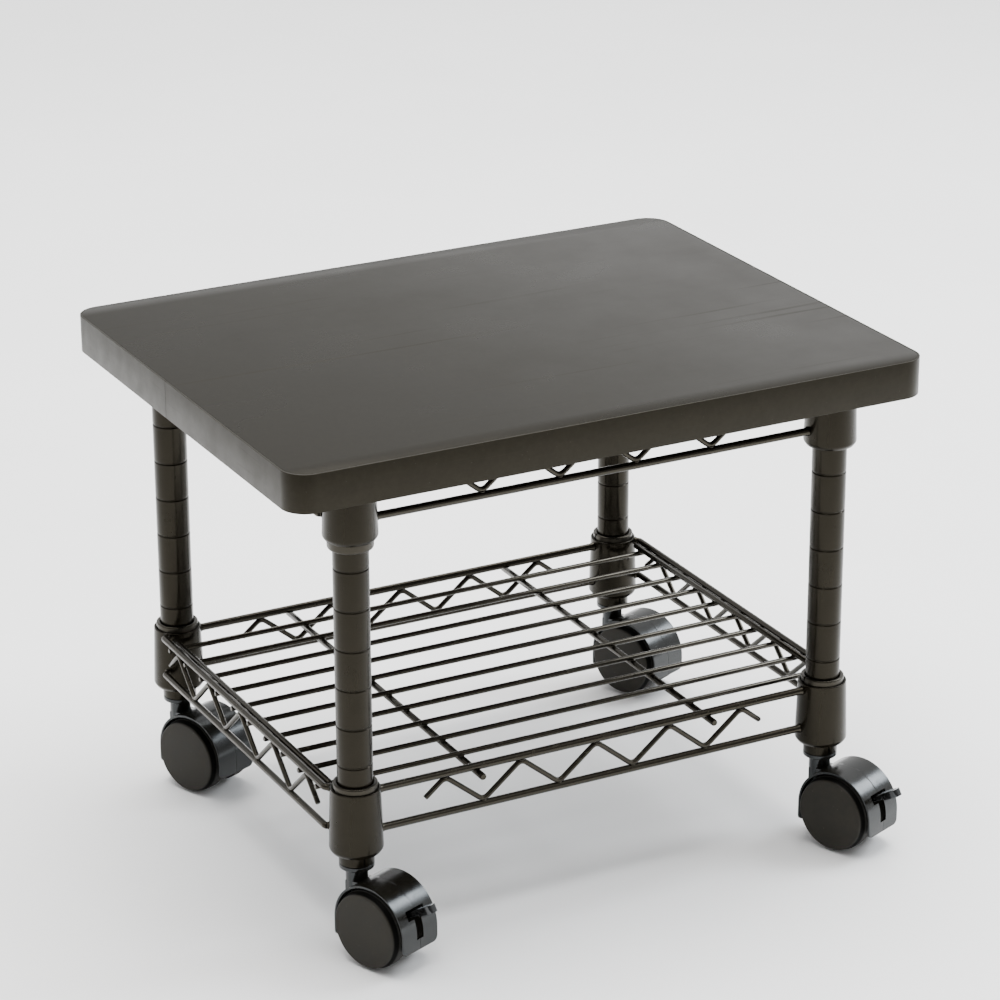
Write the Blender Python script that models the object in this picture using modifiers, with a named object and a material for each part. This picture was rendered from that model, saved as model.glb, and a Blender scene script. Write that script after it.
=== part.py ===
"""Mobile printer stand: a laminate top on four grooved posts, a wire shelf, and four twin-wheel casters.

Built in metres, +Z up, floor at z = 0, width along X and the front towards -Y.
"""
import math

import bmesh
import bpy
from mathutils import Matrix, Vector

# ---- overall sizes -------------------------------------------------------------------------
TOP_WIDTH = 0.4318
TOP_DEPTH = 0.3366
TOP_THICK = 0.024
TOP_CORNER_R = 0.016
STAND_HEIGHT = 0.326
POST_X = 0.1653  # half the distance between posts, side to side
POST_Y = 0.1365  # half the distance between posts, front to back
GRID_Y = 0.01387  # the trailing casters reach out in front, so the posts' centre sits behind the origin
GAP = 0.0003  # clearance left between neighbouring pieces

# ---- top board -----------------------------------------------------------------------------
BAND_THICK = 0.0012
SEAM_Y = 0.0160  # where the band's two ends meet, on the left edge
SEAM_WIDTH = 0.0003
RECESS_HALF_X = 0.1835
RECESS_HALF_Y = 0.1545
RECESS_DEPTH = 0.0093
CORNER_STEPS = 5

# ---- posts ---------------------------------------------------------------------------------
POST_R = 0.0109
POST_WALL = 0.0012
POST_BOTTOM = 0.0580
GROOVE_PITCH = 0.0254
GROOVE_FIRST = 0.0730  # height of the lowest groove
GROOVE_COUNT = 10
GROOVE_DEPTH = 0.0005
GROOVE_HALF = 0.0007
SLIT_WIDTH = 0.0012
SLIT_HEIGHT = 0.0070
POST_SEGMENTS = 14

# ---- collars and split sleeves (lower shelf; the upper frame is the same, one step up) --------
FRAME_STEP = 0.2032  # eight groove pitches
COLLAR_TOP = 0.1077
COLLAR_EDGE = 0.0680  # height of the widest ring, above the bottom chamfer
COLLAR_BOTTOM = 0.0656
COLLAR_R_TOP = 0.0154
COLLAR_R_EDGE = 0.0167
COLLAR_R_FOOT = 0.0150
COLLAR_BORE_TOP = 0.0141
COLLAR_BORE_BOTTOM = 0.0144
COLLAR_ROUND = 0.0007
SLEEVE_BORE = 0.0112
SLEEVE_R_TOP = 0.0137
SLEEVE_R_BOTTOM = 0.0140
SLEEVE_HALF = 0.0130
SLEEVE_SPLIT = 0.0014
LOWER_SLEEVE_Z = 0.0984  # centred on a post groove
UPPER_SLEEVE_Z = 0.2835  # three of the upper sleeves sit flush inside their collars
LOOSE_SLEEVE_Z = 0.2762  # the front left one shows below its collar
LOOSE_SLEEVE = "front_left"
COLLAR_SEGMENTS = 16

# ---- wire frames ---------------------------------------------------------------------------
END_RAIL_R = 0.0025  # rails of the front and back trusses
SIDE_RAIL_R = 0.0022
SNAKE_R = 0.0017
END_RAIL_TOP = 0.1025
END_RAIL_BOTTOM = 0.0762
SIDE_RAIL_TOP = 0.1054
SIDE_RAIL_BOTTOM = 0.0795
SIDE_OFFSET = 0.0146  # side trusses run outside the posts' centre line by this much
SIDE_STRAIGHT = 0.0125  # the straight run stops this far short of the post's centre
WELD = 0.0009  # how far crossing wires sink into each other
END_PITCH = 0.0525
SIDE_PITCH = 0.0495
END_STUB = 0.0137  # the zigzag wire's cut ends run on this far past its last peak
SIDE_STUB = 0.0155
BEND = 0.0022  # half the flat left by each bend of the zigzag
COLLAR_CLEAR = 0.00045  # rail end to collar

# ---- shelf grille --------------------------------------------------------------------------
DECK_R = 0.00175
DECK_Z = 0.1010
DECK_HALF = 0.1812  # the cross wires end under the side rails
DECK_PITCH = 0.0252
DECK_WIRES = 10
SUPPORT_R = 0.00225
SUPPORT_Z = 0.0973
SUPPORT_X = 0.0819
SUPPORT_HALF = 0.1430
INNER_R = 0.0021
INNER_X = 0.1743
INNER_Z = 0.1046
INNER_HALF = 0.1200

# ---- casters -------------------------------------------------------------------------------
CASTER_YAW = math.radians(-68.0)  # trailing direction, from +X
TRAIL = 0.0230
WHEEL_R = 0.0250
WHEEL_IN = 0.0073
WHEEL_OUT = 0.0198
WHEEL_BORE = 0.0029
WHEEL_SEGMENTS = 20
AXLE_R = 0.0025
AXLE_HALF = 0.0160
HOOD_R = 0.0279
HOOD_INNER = 0.0257
HOOD_HALF = 0.0162
HOOD_TAIL = 0.0098  # the hood's trailing wall runs this far below the axle
HOOD_LEAD = 0.0135  # and the wall under the stem this far
HOOD_STEPS = 16
WEB_HALF = 0.0066
NECK_R = 0.00685
NECK_TOP = 0.0535
STEM_R = 0.0040
STEM_SEGMENTS = 12
STEM_BORE = 0.0044
STEM_BOTTOM = 0.0300
STEM_TOP = 0.0900
FLANGE_R = 0.0109
FLANGE_BOTTOM = 0.0538
FLANGE_TOP = 0.0577
PLUG_R = 0.0093
PLUG_TOP = 0.0880
PLUG_BORE = 0.0043

# ---- brake lever on the front casters ----------------------------------------------------------
LEVER_ANGLE = math.radians(29.0)
LEVER_HALF = 0.0025
LEVER_THICK = 0.0034
LEVER_HUB_R = 0.0070
LEVER_REACH = 0.0445
LEVER_TIP_HALF = 0.0033
LEVER_TIP_START = 0.0370
LEVER_TRAVEL = math.radians(30.0)
LEVER_SLOT_HALF = 0.0029
LEVER_CLEAR = 0.0004
SWEEP_R = 0.0340  # outside the hood
LEVER_CROSS_HALF = 0.0078
LEVER_CROSS_HEIGHT = 0.0064
LEVER_POCKET_R = 0.0080
LEVER_POCKET_HALF = 0.0031

PARTS = None
CUTTERS = None


def clear_scene():
    """Remove whatever the file opened with."""
    for obj in list(bpy.data.objects):
        bpy.data.objects.remove(obj, do_unlink=True)


def new_collection(name):
    """A collection under the scene's own."""
    made = bpy.data.collections.new(name)
    bpy.context.scene.collection.children.link(made)
    return made


def material(name, colour, roughness, metallic=0.0):
    """A plain Principled material."""
    made = bpy.data.materials.new(name)
    made.use_nodes = True
    shader = made.node_tree.nodes["Principled BSDF"]
    shader.inputs["Base Color"].default_value = (*colour, 1.0)
    shader.inputs["Roughness"].default_value = roughness
    shader.inputs["Metallic"].default_value = metallic
    return made


def place(obj, cutter=False):
    """Put an object in the parts or the cutters collection."""
    (CUTTERS if cutter else PARTS).objects.link(obj)
    if cutter:
        obj.hide_render = True
        obj.display_type = "WIRE"
    return obj


def from_bmesh(name, bm, cutter=False):
    """Turn a bmesh into an object with outward faces."""
    bmesh.ops.recalc_face_normals(bm, faces=bm.faces)
    mesh = bpy.data.meshes.new(name)
    bm.to_mesh(mesh)
    bm.free()
    return place(bpy.data.objects.new(name, mesh), cutter)


def box(name, low, high, cutter=False):
    """A box between two corners."""
    bm = bmesh.new()
    bmesh.ops.create_cube(bm, size=1.0)
    low, high = Vector(low), Vector(high)
    size = high - low
    bmesh.ops.scale(bm, vec=size, verts=bm.verts)
    bmesh.ops.translate(bm, vec=(low + high) / 2, verts=bm.verts)
    return from_bmesh(name, bm, cutter)


def rod(name, radius, start, end, segments, cutter=False):
    """A solid round bar between two points."""
    start, end = Vector(start), Vector(end)
    along = end - start
    bm = bmesh.new()
    bmesh.ops.create_cone(
        bm,
        cap_ends=True,
        segments=segments,
        radius1=radius,
        radius2=radius,
        depth=along.length,
    )
    turn = along.to_track_quat("Z", "Y").to_matrix().to_4x4()
    bmesh.ops.transform(bm, matrix=Matrix.Translation((start + end) / 2) @ turn, verts=bm.verts)
    return from_bmesh(name, bm, cutter)


def lathe(name, profile, segments, closed=True, cutter=False):
    """Sweep an (r, z) profile round the Z axis with a Screw modifier."""
    mesh = bpy.data.meshes.new(name)
    points = [(r, 0.0, z) for r, z in profile]
    edges = [(i, i + 1) for i in range(len(points) - 1)]
    if closed:
        edges.append((len(points) - 1, 0))
    mesh.from_pydata(points, edges, [])
    obj = place(bpy.data.objects.new(name, mesh), cutter)
    screw = obj.modifiers.new("Turn", "SCREW")
    screw.axis = "Z"
    screw.steps = segments
    screw.render_steps = segments
    screw.use_merge_vertices = True
    screw.merge_threshold = 0.00001
    return obj


def mesh_from(curve):
    """A curve's surface as one closed bmesh."""
    holder = bpy.data.objects.new(curve.name + "_curve", curve)
    bpy.context.scene.collection.objects.link(holder)
    bpy.context.view_layer.update()
    mesh = bpy.data.meshes.new_from_object(holder)
    bpy.data.objects.remove(holder, do_unlink=True)
    bm = bmesh.new()
    bm.from_mesh(mesh)
    bpy.data.meshes.remove(mesh)
    bmesh.ops.remove_doubles(bm, verts=bm.verts, dist=0.00001)
    return bm


def wire(name, points, radius, resolution):
    """A bent wire with closed ends, from a beveled curve."""
    curve = bpy.data.curves.new(name, "CURVE")
    curve.dimensions = "3D"
    curve.bevel_depth = radius
    curve.bevel_resolution = resolution
    curve.use_fill_caps = True
    spline = curve.splines.new("POLY")
    spline.points.add(len(points) - 1)
    for slot, point in zip(spline.points, points):
        slot.co = (*point, 1.0)
    return mesh_from(curve)


def plate(name, outlines, half):
    """A flat plate half thick each way from z = 0. The second outline, if any, is a hole."""
    curve = bpy.data.curves.new(name, "CURVE")
    curve.dimensions = "2D"
    curve.fill_mode = "BOTH"
    curve.extrude = half
    for outline in outlines:
        spline = curve.splines.new("POLY")
        spline.points.add(len(outline) - 1)
        for slot, (u, v) in zip(spline.points, outline):
            slot.co = (u, v, 0.0, 1.0)
        spline.use_cyclic_u = True
    return mesh_from(curve)


def wires(name, runs, cutter=False):
    """Several separate wires in one object: runs is a list of (points, radius, resolution)."""
    whole = bmesh.new()
    for points, radius, resolution in runs:
        piece = wire(name, points, radius, resolution)
        scratch = bpy.data.meshes.new(name + "_piece")
        piece.to_mesh(scratch)
        piece.free()
        whole.from_mesh(scratch)
        bpy.data.meshes.remove(scratch)
    return from_bmesh(name, whole, cutter)


def boolean(obj, tool, operation):
    """Add one exact Boolean."""
    step = obj.modifiers.new(operation.title(), "BOOLEAN")
    step.operation = operation
    step.solver = "EXACT"
    step.object = tool
    return obj


def finish(obj, slot, smooth_angle=35.0):
    """Give a part its material and smooth its round faces."""
    obj.data.materials.append(slot)
    for face in obj.data.polygons:
        face.use_smooth = True
    obj.data.set_sharp_from_angle(angle=math.radians(smooth_angle))
    return obj


def copy_of(obj, name, location=(0.0, 0.0, 0.0), turn=0.0):
    """Another object on the same mesh with the same modifiers."""
    twin = obj.copy()
    twin.name = name
    PARTS.objects.link(twin)
    twin.location = location
    twin.rotation_euler = (0.0, 0.0, turn)
    return twin


def rounded_rectangle(half_x, half_y, radius):
    """Corner points of a rectangle with round corners, anticlockwise."""
    points = []
    for quarter, (sx, sy) in enumerate(((1, 1), (-1, 1), (-1, -1), (1, -1))):
        for step in range(CORNER_STEPS + 1):
            angle = math.radians(90.0 * (quarter + step / CORNER_STEPS))
            x = sx * (half_x - radius) + radius * math.cos(angle)
            y = sy * (half_y - radius) + radius * math.sin(angle)
            points.append((x, y))
    return points


def prism(name, outlines, low, high):
    """An upright solid on plan outlines."""
    bm = plate(name, outlines, (high - low) / 2)
    bmesh.ops.translate(bm, vec=(0.0, 0.0, (low + high) / 2), verts=bm.verts)
    return from_bmesh(name, bm)


def across_prism(name, outline, half, cutter=True):
    """A solid with an x-z outline, running across the caster from -half to +half in y."""
    bm = plate(name, [outline], half)
    bmesh.ops.rotate(bm, matrix=Matrix.Rotation(math.pi / 2, 3, "X"), verts=bm.verts)
    return from_bmesh(name, bm, cutter)


def corners():
    """The four posts: name, x, y."""
    return (
        ("front_left", -POST_X, GRID_Y - POST_Y),
        ("front_right", POST_X, GRID_Y - POST_Y),
        ("back_left", -POST_X, GRID_Y + POST_Y),
        ("back_right", POST_X, GRID_Y + POST_Y),
    )


def board_outline(inset):
    """The top's plan outline, brought in all round."""
    return rounded_rectangle(TOP_WIDTH / 2 - inset, TOP_DEPTH / 2 - inset, TOP_CORNER_R - inset)


def build_top(board_slot, band_slot):
    """The top board with its underside recess, and the edge band round it."""
    low = STAND_HEIGHT - TOP_THICK
    board = prism("top_board", [board_outline(BAND_THICK + GAP)], low, STAND_HEIGHT)
    recess = box(
        "cut_recess",
        (-RECESS_HALF_X, -RECESS_HALF_Y, low - 0.01),
        (RECESS_HALF_X, RECESS_HALF_Y, low + RECESS_DEPTH),
        cutter=True,
    )
    band = prism("edge_band", [board_outline(0.0), board_outline(BAND_THICK)], low, STAND_HEIGHT)
    seam = box(
        "cut_band_seam",
        (-TOP_WIDTH / 2 - 0.01, SEAM_Y - SEAM_WIDTH / 2, low - 0.01),
        (-TOP_WIDTH / 2 + 0.01, SEAM_Y + SEAM_WIDTH / 2, STAND_HEIGHT + 0.01),
        cutter=True,
    )
    for obj in (board, recess, band, seam):
        obj.location.y = GRID_Y
    finish(boolean(board, recess, "DIFFERENCE"), board_slot)
    finish(boolean(band, seam, "DIFFERENCE"), band_slot)


def post_profile():
    """Tube section with a ring groove every pitch, walking down the outside and up the bore."""
    top = COLLAR_TOP + FRAME_STEP
    profile = [(POST_R, top)]
    for step in reversed(range(GROOVE_COUNT)):
        middle = GROOVE_FIRST + step * GROOVE_PITCH
        profile.append((POST_R, middle + GROOVE_HALF))
        profile.append((POST_R - GROOVE_DEPTH, middle))
        profile.append((POST_R, middle - GROOVE_HALF))
    profile.append((POST_R, POST_BOTTOM))
    profile.append((POST_R - POST_WALL, POST_BOTTOM))
    profile.append((POST_R - POST_WALL, top))
    return profile


def build_posts(slot):
    """Four grooved tubes, each with a short slit in its foot facing the front."""
    for name, x, y in corners():
        slit = box(
            "cut_slit_" + name,
            (-SLIT_WIDTH / 2, -POST_R - 0.004, POST_BOTTOM - 0.004),
            (SLIT_WIDTH / 2, -POST_R / 2, POST_BOTTOM + SLIT_HEIGHT),
            cutter=True,
        )
        post = lathe("post_" + name, post_profile(), POST_SEGMENTS)
        slit.location = (x, y, 0.0)
        post.location = (x, y, 0.0)
        finish(boolean(post, slit, "DIFFERENCE"), slot)


def collar_radius(height):
    """Outer radius of the lower collar at a height."""
    share = (COLLAR_TOP - height) / (COLLAR_TOP - COLLAR_EDGE)
    return COLLAR_R_TOP + share * (COLLAR_R_EDGE - COLLAR_R_TOP)


def build_collars(slot):
    """A tapered collar round each post for the shelf and for the upper frame."""
    profile = [
        (COLLAR_R_TOP - COLLAR_ROUND, COLLAR_TOP),
        (COLLAR_R_TOP, COLLAR_TOP - COLLAR_ROUND),
        (COLLAR_R_EDGE, COLLAR_EDGE),
        (COLLAR_R_FOOT, COLLAR_BOTTOM),
        (COLLAR_BORE_BOTTOM, COLLAR_BOTTOM),
        (COLLAR_BORE_TOP, COLLAR_TOP),
    ]
    pattern = None
    for level, lift in (("lower", 0.0), ("upper", FRAME_STEP)):
        for name, x, y in corners():
            full = f"{level}_collar_{name}"
            if pattern is None:
                pattern = finish(lathe(full, profile, COLLAR_SEGMENTS), slot)
                pattern.location = (x, y, lift)
            else:
                copy_of(pattern, full, (x, y, lift))


def sleeve_height(level, name):
    """Height of a sleeve's middle."""
    if level == "lower":
        return LOWER_SLEEVE_Z
    return LOOSE_SLEEVE_Z if name == LOOSE_SLEEVE else UPPER_SLEEVE_Z


def build_sleeves(slot):
    """Tapered split sleeves that grip a post groove inside each collar."""
    profile = [
        (SLEEVE_R_TOP, SLEEVE_HALF),
        (SLEEVE_R_BOTTOM, 0.0012 - SLEEVE_HALF),
        (SLEEVE_R_BOTTOM - 0.0008, -SLEEVE_HALF),
        (SLEEVE_BORE, -SLEEVE_HALF),
        (SLEEVE_BORE, SLEEVE_HALF),
    ]
    for level in ("lower", "upper"):
        for name, x, y in corners():
            height = sleeve_height(level, name)
            sleeve = lathe(f"{level}_sleeve_{name}", profile, COLLAR_SEGMENTS)
            sleeve.location = (x, y, height)
            inward = -1.0 if x > 0 else 1.0
            split = box(
                f"cut_split_{level}_{name}",
                (min(0.0, inward * 0.02), -SLEEVE_SPLIT / 2, -0.02),
                (max(0.0, inward * 0.02), SLEEVE_SPLIT / 2, 0.02),
                cutter=True,
            )
            split.location = (x, y, height)
            finish(boolean(sleeve, split, "DIFFERENCE"), slot)


def zigzag(pitch, low, high, radius_at_rail, stub):
    """The snake wire's points in its own plane (u along the rails, z up)."""
    top = high - radius_at_rail - SNAKE_R + WELD
    bottom = low + radius_at_rail + SNAKE_R - WELD
    slope = (top - bottom) / (pitch / 2)
    lean = BEND * slope
    peaks = [step * pitch / 2 for step in range(-4, 5)]
    points = [(peaks[0] - stub, top - stub * slope)]
    for number, u in enumerate(peaks):
        if number % 2 == 0:
            points.append((u - BEND, top - lean / 4))
            points.append((u + BEND, top - lean / 4))
        else:
            points.append((u - BEND, bottom + lean / 4))
            points.append((u + BEND, bottom + lean / 4))
    points.append((peaks[-1] + stub, top - stub * slope))
    return points


def end_truss():
    """Front and back truss: two straight rails with the zigzag wire between them."""
    reach_top = POST_X - collar_radius(END_RAIL_TOP - END_RAIL_R) - COLLAR_CLEAR
    reach_low = POST_X - collar_radius(END_RAIL_BOTTOM - END_RAIL_R) - COLLAR_CLEAR
    rails = (
        ([(-reach_top, 0.0, END_RAIL_TOP), (reach_top, 0.0, END_RAIL_TOP)], END_RAIL_R, 2),
        ([(-reach_low, 0.0, END_RAIL_BOTTOM), (reach_low, 0.0, END_RAIL_BOTTOM)], END_RAIL_R, 2),
    )
    path = zigzag(END_PITCH, END_RAIL_BOTTOM, END_RAIL_TOP, END_RAIL_R, END_STUB)
    return rails, [(u, 0.0, z) for u, z in path]


def side_rail(height, offset):
    """One side rail: straight, with both ends bent in until they face the collars."""
    gap = collar_radius(height - SIDE_RAIL_R) + COLLAR_CLEAR
    straight = POST_Y - SIDE_STRAIGHT
    reach = math.hypot(offset, SIDE_STRAIGHT)
    end_x = offset * (1.0 - gap / reach)
    end_y = POST_Y - SIDE_STRAIGHT * gap / reach
    points = [(-end_y, end_x), (-straight, 0.0), (straight, 0.0), (end_y, end_x)]
    return [(u, v, height) for u, v in points]


def side_truss():
    """Left or right truss in its own plane: u along the stand's depth, v towards the posts."""
    rails = (
        (side_rail(SIDE_RAIL_TOP, SIDE_OFFSET), SIDE_RAIL_R, 2),
        (side_rail(SIDE_RAIL_BOTTOM, SIDE_OFFSET), SIDE_RAIL_R, 2),
    )
    path = zigzag(SIDE_PITCH, SIDE_RAIL_BOTTOM, SIDE_RAIL_TOP, SIDE_RAIL_R, SIDE_STUB)
    return rails, [(u, 0.0, z) for u, z in path]


def build_trusses(slot):
    """Four trusses round the shelf, and the same four a step up under the top."""
    for level, lift in (("lower", 0.0), ("upper", FRAME_STEP)):
        for name, side, turn in (("front", -1, 0.0), ("back", 1, math.pi)):
            rails, path = end_truss()
            y = GRID_Y + side * POST_Y
            place_truss(f"{level}_truss_{name}", rails, path, (0.0, y, lift), turn, slot)
        for name, side, turn in (("left", -1, -math.pi / 2), ("right", 1, math.pi / 2)):
            rails, path = side_truss()
            x = side * (POST_X + SIDE_OFFSET)
            place_truss(f"{level}_truss_{name}", rails, path, (x, GRID_Y, lift), turn, slot)


def place_truss(name, rails, path, location, turn, slot):
    """Join two rails and a zigzag into one welded truss."""
    truss = wires(name, rails)
    snake = wires("join_" + name, [(path, SNAKE_R, 1)], cutter=True)
    for obj in (truss, snake):
        obj.location = location
        obj.rotation_euler = (0.0, 0.0, turn)
    finish(boolean(truss, snake, "UNION"), slot)


def straight_along_y(x, half, z):
    """A straight wire's two ends, running front to back."""
    return [(x, -half, z), (x, half, z)]


def build_grille(slot):
    """The shelf's deck: cross wires on two support wires, with a lengthwise wire inside each side rail."""
    long_runs = []
    for side in (-1, 1):
        long_runs.append((straight_along_y(side * SUPPORT_X, SUPPORT_HALF, SUPPORT_Z), SUPPORT_R, 2))
        long_runs.append((straight_along_y(side * INNER_X, INNER_HALF, INNER_Z), INNER_R, 2))
    cross_runs = []
    for number in range(DECK_WIRES):
        y = (number - (DECK_WIRES - 1) / 2) * DECK_PITCH
        cross_runs.append(([(-DECK_HALF, y, DECK_Z), (DECK_HALF, y, DECK_Z)], DECK_R, 1))
    grille = wires("shelf_grille", long_runs)
    cross = wires("join_cross_wires", cross_runs, cutter=True)
    grille.location.y = GRID_Y
    cross.location.y = GRID_Y
    finish(boolean(grille, cross, "UNION"), slot)


def build_inserts(slot):
    """Plastic sockets in the posts' feet, each with a rounded flange below the tube."""
    profile = [
        (PLUG_R - 0.0006, PLUG_TOP),
        (PLUG_R, PLUG_TOP - 0.0010),
        (PLUG_R, FLANGE_TOP),
        (FLANGE_R, FLANGE_TOP),
        (FLANGE_R, FLANGE_TOP - 0.0026),
        (FLANGE_R - 0.0008, FLANGE_BOTTOM + 0.0008),
        (FLANGE_R - 0.0024, FLANGE_BOTTOM),
        (PLUG_BORE, FLANGE_BOTTOM),
        (PLUG_BORE, PLUG_TOP),
    ]
    pattern = None
    for name, x, y in corners():
        full = "post_insert_" + name
        if pattern is None:
            pattern = finish(lathe(full, profile, POST_SEGMENTS), slot)
            pattern.location = (x, y, 0.0)
        else:
            copy_of(pattern, full, (x, y, 0.0))


def build_stems(slot):
    """Steel pins that each caster swivels on."""
    profile = [
        (0.0, STEM_TOP),
        (STEM_R - 0.0010, STEM_TOP),
        (STEM_R, STEM_TOP - 0.0010),
        (STEM_R, STEM_BOTTOM + 0.0010),
        (STEM_R - 0.0010, STEM_BOTTOM),
        (0.0, STEM_BOTTOM),
    ]
    pattern = None
    for name, x, y in corners():
        full = "caster_stem_" + name
        if pattern is None:
            pattern = finish(lathe(full, profile, STEM_SEGMENTS, closed=False), slot)
            pattern.location = (x, y, 0.0)
        else:
            copy_of(pattern, full, (x, y, 0.0))


def hood_outline(radius, tail, lead):
    """Side outline of the hood: an arch over the axle with straight walls below it (x, z)."""
    points = [(TRAIL + radius, WHEEL_R - tail)]
    for step in range(HOOD_STEPS + 1):
        angle = math.pi * step / HOOD_STEPS
        points.append((TRAIL + radius * math.cos(angle), WHEEL_R + radius * math.sin(angle)))
    points.append((TRAIL - radius, WHEEL_R - lead))
    return points


def web_outline():
    """Side outline of the solid web between the wheels, from the axle to under the stem (x, z)."""
    return [
        (TRAIL + 0.0060, WHEEL_R - 0.0060),
        (TRAIL + 0.0060, WHEEL_R + HOOD_INNER * 0.985),
        (-NECK_R * 0.6, WHEEL_R + 0.0210),
        (-NECK_R * 0.6, WHEEL_R - 0.0030),
        (TRAIL - 0.0060, WHEEL_R - 0.0100),
    ]


def cross_rod(name, radius, half, segments):
    """A round tool on the wheel axle's line."""
    return rod(name, radius, (TRAIL, -half, WHEEL_R), (TRAIL, half, WHEEL_R), segments, cutter=True)


def body_tools(tag):
    """What is joined to or cut from every caster's hood, in the caster's own frame."""
    inner = hood_outline(HOOD_INNER, HOOD_TAIL + 0.005, HOOD_LEAD + 0.005)
    hollow = across_prism("cut_hollow_" + tag, inner, HOOD_HALF + 0.01)
    web = across_prism("join_web_" + tag, web_outline(), WEB_HALF)
    neck_foot = (0.0, 0.0, WHEEL_R - 0.0030)
    neck = rod("join_neck_" + tag, NECK_R, neck_foot, (0.0, 0.0, NECK_TOP), 20, cutter=True)
    bore_foot = (0.0, 0.0, STEM_BOTTOM - GAP)
    bore = rod("cut_stem_bore_" + tag, STEM_BORE, bore_foot, (0.0, 0.0, 0.08), 16, cutter=True)
    axle_bore = cross_rod("cut_axle_bore_" + tag, AXLE_R + GAP, 0.03, 14)
    return [
        (hollow, "DIFFERENCE"),
        (web, "UNION"),
        (neck, "UNION"),
        (bore, "DIFFERENCE"),
        (axle_bore, "DIFFERENCE"),
    ]


def brake_tools(tag):
    """The cuts a brake lever needs: a pocket for its hub, a slot for its arm, a cross slot at the top."""
    pocket = cross_rod("cut_lever_pocket_" + tag, LEVER_POCKET_R, LEVER_POCKET_HALF, 16)
    slot = across_prism("cut_lever_slot_" + tag, lever_sweep(), LEVER_SLOT_HALF)
    cross = box(
        "cut_lever_cross_" + tag,
        (HOOD_INNER - 0.004, -LEVER_CROSS_HALF, -LEVER_CROSS_HEIGHT / 2),
        (HOOD_R + 0.004, LEVER_CROSS_HALF, LEVER_CROSS_HEIGHT / 2),
        cutter=True,
    )
    tilt = Matrix.Translation((TRAIL, 0.0, WHEEL_R)) @ Matrix.Rotation(-LEVER_ANGLE, 4, "Y")
    cross.data.transform(tilt)
    return [(pocket, "DIFFERENCE"), (slot, "DIFFERENCE"), (cross, "DIFFERENCE")]


def lever_sweep():
    """The space the lever's arm sweeps through, as an x-z outline."""
    half = LEVER_THICK / 2 + LEVER_CLEAR
    high = LEVER_ANGLE
    low = LEVER_ANGLE - LEVER_TRAVEL
    edge = math.atan2(half, SWEEP_R)
    points = [(TRAIL + half * math.sin(low), WHEEL_R - half * math.cos(low))]
    for step in range(7):
        angle = low - edge + (high - low + 2 * edge) * step / 6
        points.append((TRAIL + SWEEP_R * math.cos(angle), WHEEL_R + SWEEP_R * math.sin(angle)))
    points.append((TRAIL - half * math.sin(high), WHEEL_R + half * math.cos(high)))
    return points


def build_caster(name, x, y, braked, slots):
    """One caster: body with hood, axle, two wheels and, if braked, the lever."""
    spot = Matrix.Translation((x, y, 0.0)) @ Matrix.Rotation(CASTER_YAW, 4, "Z")

    outline = hood_outline(HOOD_R, HOOD_TAIL, HOOD_LEAD)
    body = across_prism("caster_body_" + name, outline, HOOD_HALF, cutter=False)
    body.matrix_world = spot
    for tool, operation in body_tools(name) + (brake_tools(name) if braked else []):
        tool.matrix_world = spot
        boolean(body, tool, operation)
    finish(body, slots["plastic"])

    sideways = spot @ Matrix.Translation((TRAIL, 0.0, WHEEL_R)) @ Matrix.Rotation(-math.pi / 2, 4, "X")
    axle = lathe(
        "caster_axle_" + name,
        [(0.0, AXLE_HALF), (AXLE_R, AXLE_HALF), (AXLE_R, -AXLE_HALF), (0.0, -AXLE_HALF)],
        14,
        closed=False,
    )
    axle.matrix_world = sideways
    finish(axle, slots["steel"])

    wheel_profile = [
        (0.0, WHEEL_OUT),
        (WHEEL_R - 0.0024, WHEEL_OUT - 0.0010),
        (WHEEL_R, WHEEL_OUT - 0.0044),
        (WHEEL_R, WHEEL_IN + 0.0010),
        (WHEEL_R - 0.0010, WHEEL_IN),
        (WHEEL_BORE, WHEEL_IN),
        (WHEEL_BORE, AXLE_HALF + GAP),
        (0.0, AXLE_HALF + GAP),
    ]
    for tag, flip in (("near", math.pi), ("far", 0.0)):
        wheel = lathe(f"caster_wheel_{tag}_{name}", wheel_profile, WHEEL_SEGMENTS, closed=False)
        wheel.matrix_world = sideways @ Matrix.Rotation(flip, 4, "X")
        finish(wheel, slots["tyre"])

    if braked:
        build_lever(name, spot, slots["lever"])


def build_lever(name, spot, slot):
    """The brake lever: a hub on the axle, a flat arm out through the hood and a wider tip."""
    lever = rod(
        "brake_lever_" + name,
        LEVER_HUB_R,
        (0.0, -LEVER_HALF, 0.0),
        (0.0, LEVER_HALF, 0.0),
        16,
    )
    arm = box(
        "join_lever_arm_" + name,
        (0.0045, -LEVER_HALF + 0.00005, -LEVER_THICK / 2),
        (LEVER_REACH - 0.001, LEVER_HALF - 0.00005, LEVER_THICK / 2),
        cutter=True,
    )
    tip = box(
        "join_lever_tip_" + name,
        (LEVER_TIP_START, -LEVER_TIP_HALF, -LEVER_THICK / 2 - 0.0003),
        (LEVER_REACH, LEVER_TIP_HALF, LEVER_THICK / 2 + 0.0003),
        cutter=True,
    )
    bore = rod(
        "cut_lever_bore_" + name,
        AXLE_R + GAP,
        (0.0, -0.01, 0.0),
        (0.0, 0.01, 0.0),
        14,
        cutter=True,
    )
    pose = spot @ Matrix.Translation((TRAIL, 0.0, WHEEL_R)) @ Matrix.Rotation(-LEVER_ANGLE, 4, "Y")
    for obj in (lever, arm, tip, bore):
        obj.matrix_world = pose
    boolean(lever, arm, "UNION")
    boolean(lever, tip, "UNION")
    boolean(lever, bore, "DIFFERENCE")
    finish(lever, slot)


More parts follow.
